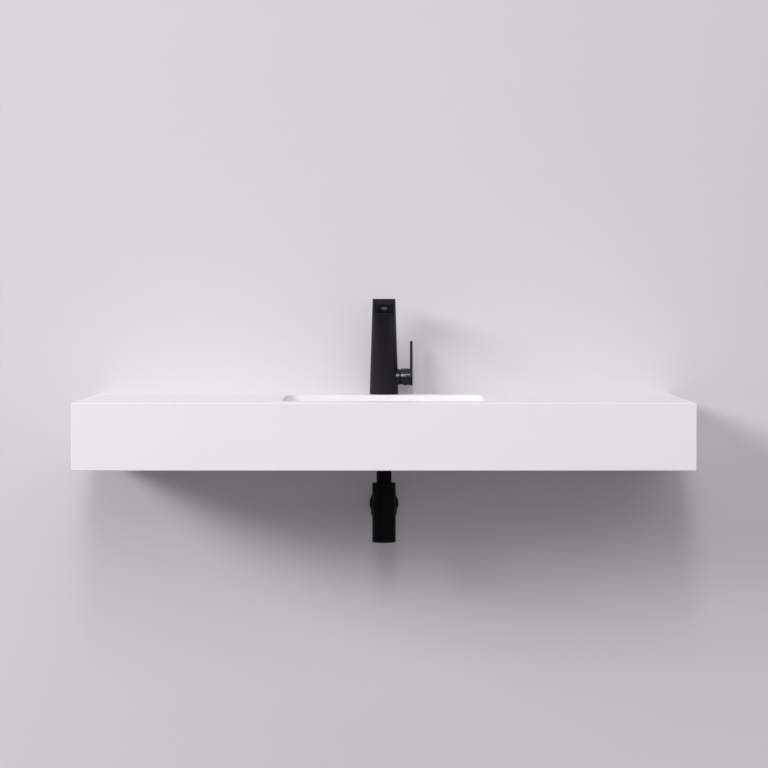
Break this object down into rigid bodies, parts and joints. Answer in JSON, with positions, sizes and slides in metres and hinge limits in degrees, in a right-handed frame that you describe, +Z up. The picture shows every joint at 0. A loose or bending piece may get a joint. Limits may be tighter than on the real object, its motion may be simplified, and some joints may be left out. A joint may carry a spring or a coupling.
{
  "type": "wall-hung washbasin",
  "caption": "Wall-hung slab washbasin with integrated bowl, side-lever mixer tap, push-open waste and bottle trap.",
  "frame": {"origin": "on the wall face, on the centre line, at the height of the rim", "axes": "+X to the right seen from the front, +Y into the wall, +Z up"},
  "size_m": [1.2, 0.52, 0.4885],
  "materials": {
    "solid_surface": "matte",
    "black_metal": "matte black",
    "black_rubber": "matte",
    "zinc_steel": "zinc plated",
    "brass": "turned",
    "grey_plastic": "moulded",
    "ceramic_disc": "ground"
  },
  "bodies": {
    "basin": {"deck": "solid_surface", "front_apron": "solid_surface", "left_apron": "solid_surface", "right_apron": "solid_surface", "wall_rail": "solid_surface", "deck_pads": "solid_surface", "bowl": "solid_surface", "wall_bracket_left": "zinc_steel", "wall_bracket_right": "zinc_steel", "deck_screws": "zinc_steel", "threaded_inserts": "brass", "waste_body": "black_metal", "waste_flange_seal": "black_rubber", "waste_cone_seal": "black_rubber", "waste_lock_nut": "brass", "click_cartridge": "grey_plastic", "inlet_nut": "black_metal", "inlet_washer": "black_rubber", "inlet_tube": "black_metal", "trap_ring_nut": "black_metal", "trap_neck_seal": "black_rubber", "trap_body": "black_metal", "trap_end_cap": "black_metal", "end_cap_seal": "black_rubber", "outlet_nut": "black_metal", "outlet_seal": "black_rubber", "outlet_tube": "black_metal", "wall_plate": "black_metal", "tap_body": "black_metal", "tap_foot_seal": "black_rubber", "aerator_housing": "black_metal", "aerator_insert": "grey_plastic", "aerator_seal": "black_rubber", "fixing_stud": "zinc_steel", "fixing_rubber": "black_rubber", "fixing_plate": "zinc_steel", "fixing_nut": "brass", "cartridge_housing": "grey_plastic", "cartridge_dome": "black_metal", "fixed_disc": "ceramic_disc"},
    "plug": {"plug_cap": "black_metal", "plug_seal": "black_rubber", "plug_stem": "brass"},
    "lever_swivel": {"cartridge_turret": "grey_plastic", "stem_pin": "zinc_steel"},
    "lever": {"lever_handle": "black_metal", "lever_stem": "brass", "lever_screw": "zinc_steel"},
    "mixing_disc": {"moving_disc": "ceramic_disc"}
  },
  "joints": [
    {"name": "plug_slide", "type": "slide", "parent": "basin", "child": "plug", "axis": [0, 0, 1], "range_m": [-0.008, 0]},
    {"name": "lever_turn", "type": "hinge", "parent": "basin", "child": "lever_swivel", "pos_m": [0.037, -0.048, 0.036], "axis": [1, 0, 0], "range_deg": [-25, 65]},
    {"name": "lever_tilt", "type": "hinge", "parent": "lever_swivel", "child": "lever", "pos_m": [0.037, -0.048, 0.036], "axis": [0, 1, 0], "range_deg": [0, 25]},
    {"name": "disc_slide", "type": "slide", "parent": "lever_swivel", "child": "mixing_disc", "axis": [0, 0, 1], "range_m": [0, 0.0042]}
  ],
  "couplings": [
    {"joint": "disc_slide", "follows": "lever_tilt", "m_per_rad": 0.0092}
  ]
}
